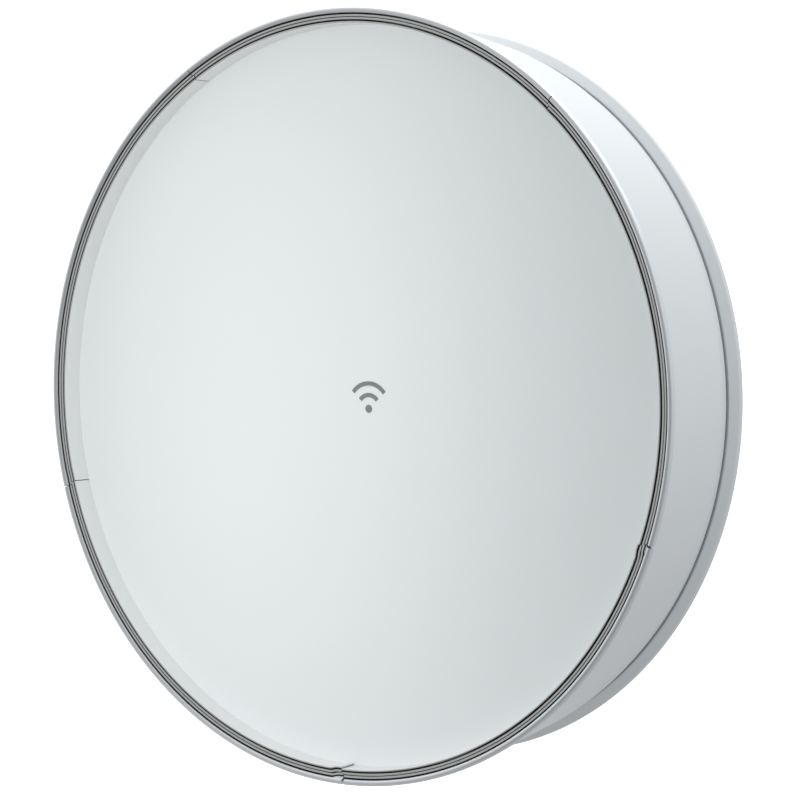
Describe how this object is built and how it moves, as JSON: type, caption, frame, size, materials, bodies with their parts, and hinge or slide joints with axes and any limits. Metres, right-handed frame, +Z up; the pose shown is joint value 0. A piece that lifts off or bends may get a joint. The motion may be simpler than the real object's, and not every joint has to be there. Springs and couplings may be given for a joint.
{
  "type": "outdoor wireless bridge",
  "caption": "Dish radio for outdoor point-to-point links: flared shroud, recessed flat radome, choke ring, rear radio housing and tilting pole clamp.",
  "frame": {"origin": "on the axis of the pole clamp, midway between its two jaws", "axes": "+Z up along the pole, boresight along -Y, +X to the right seen from the front"},
  "size_m": [0.6648, 0.4321, 0.6648],
  "materials": {
    "white_paint": "white satin powder coat on spun sheet",
    "radome_plastic": "smooth semi-gloss, faintly cool white",
    "choke_metal": "bare extruded, fine concentric lines",
    "emblem_ink": "printed grey",
    "white_plastic": "fine moulded texture",
    "bright_aluminium": "machined",
    "cast_aluminium": "die cast, sand texture",
    "zinc_steel": "zinc plated",
    "bracket_steel": "hot-dip galvanised sheet",
    "brass_contacts": "tinned brass",
    "board_green": "solder mask",
    "seal_rubber": "matte",
    "seal_grey": "matte silicone",
    "lens_clear": "clear moulded",
    "slip_nylon": "nylon"
  },
  "bodies": {
    "mast_bracket": {"pole_bracket": "bracket_steel", "lower_saddle": "cast_aluminium", "upper_saddle": "cast_aluminium", "clamp_bolts": "zinc_steel", "pivot_bolts": "zinc_steel", "pivot_nuts": "zinc_steel", "pivot_washers": "slip_nylon"},
    "antenna": {"reflector_dish": "white_paint", "shroud": "white_paint", "rim_seal": "seal_grey", "rim_screws": "zinc_steel", "rim_nuts": "zinc_steel", "radome": "radome_plastic", "radome_seal": "seal_rubber", "emblem": "emblem_ink", "feed_tube": "white_plastic", "feed_cap": "white_plastic", "sub_reflector": "bright_aluminium", "feed_spacer": "white_plastic", "feed_dipoles": "brass_contacts", "feed_board": "board_green", "feed_screws": "zinc_steel", "base_tray": "white_plastic", "main_board": "board_green", "board_screws": "zinc_steel", "rf_shields": "bright_aluminium", "heat_sink": "bright_aluminium", "ethernet_jack": "bright_aluminium", "reset_switch": "slip_nylon", "case_seal": "seal_rubber", "rear_cover": "white_plastic", "cover_screws": "zinc_steel", "status_lens": "lens_clear", "vent_plug": "slip_nylon", "dish_bracket": "bracket_steel", "hub_bolts": "zinc_steel", "hub_nuts": "zinc_steel", "ground_lug": "brass_contacts", "ground_screw": "zinc_steel", "lock_bolts": "zinc_steel", "lock_nuts": "zinc_steel", "lock_washers": "zinc_steel", "choke_strip_1": "choke_metal", "choke_strip_2": "choke_metal", "choke_strip_3": "choke_metal", "choke_strip_4": "choke_metal", "choke_strip_5": "choke_metal"},
    "upper_jaw": {"upper_jaw": "cast_aluminium", "upper_jaw_washers": "zinc_steel", "upper_jaw_nuts": "zinc_steel"},
    "lower_jaw": {"lower_jaw": "cast_aluminium", "lower_jaw_washers": "zinc_steel", "lower_jaw_nuts": "zinc_steel"},
    "port_cover": {"port_cover": "white_plastic", "cable_grommet": "seal_rubber"},
    "port_latch": {"port_latch": "white_plastic"},
    "reset_button": {"reset_button": "white_plastic"}
  },
  "joints": [
    {"name": "elevation_tilt", "type": "hinge", "parent": "mast_bracket", "child": "antenna", "pos_m": [0, -0.11, 0], "axis": [1, 0, 0], "range_deg": [-20, 20]},
    {"name": "upper_jaw_slide", "type": "slide", "parent": "mast_bracket", "child": "upper_jaw", "axis": [0, 1, 0], "range_m": [0, 0.03]},
    {"name": "lower_jaw_slide", "type": "slide", "parent": "mast_bracket", "child": "lower_jaw", "axis": [0, 1, 0], "range_m": [0, 0.03]},
    {"name": "port_cover_slide", "type": "slide", "parent": "antenna", "child": "port_cover", "axis": [0, 0, -1], "range_m": [0, 0.04]},
    {"name": "port_latch_press", "type": "slide", "parent": "port_cover", "child": "port_latch", "axis": [0, -1, 0], "range_m": [0, 0.002], "stiffness_N_per_m": 1200, "springref_m": -0.0005},
    {"name": "reset_press", "type": "slide", "parent": "antenna", "child": "reset_button", "axis": [0, 0, 1], "range_m": [0, 0.0008], "stiffness_N_per_m": 1500, "springref_m": -0.0005}
  ]
}
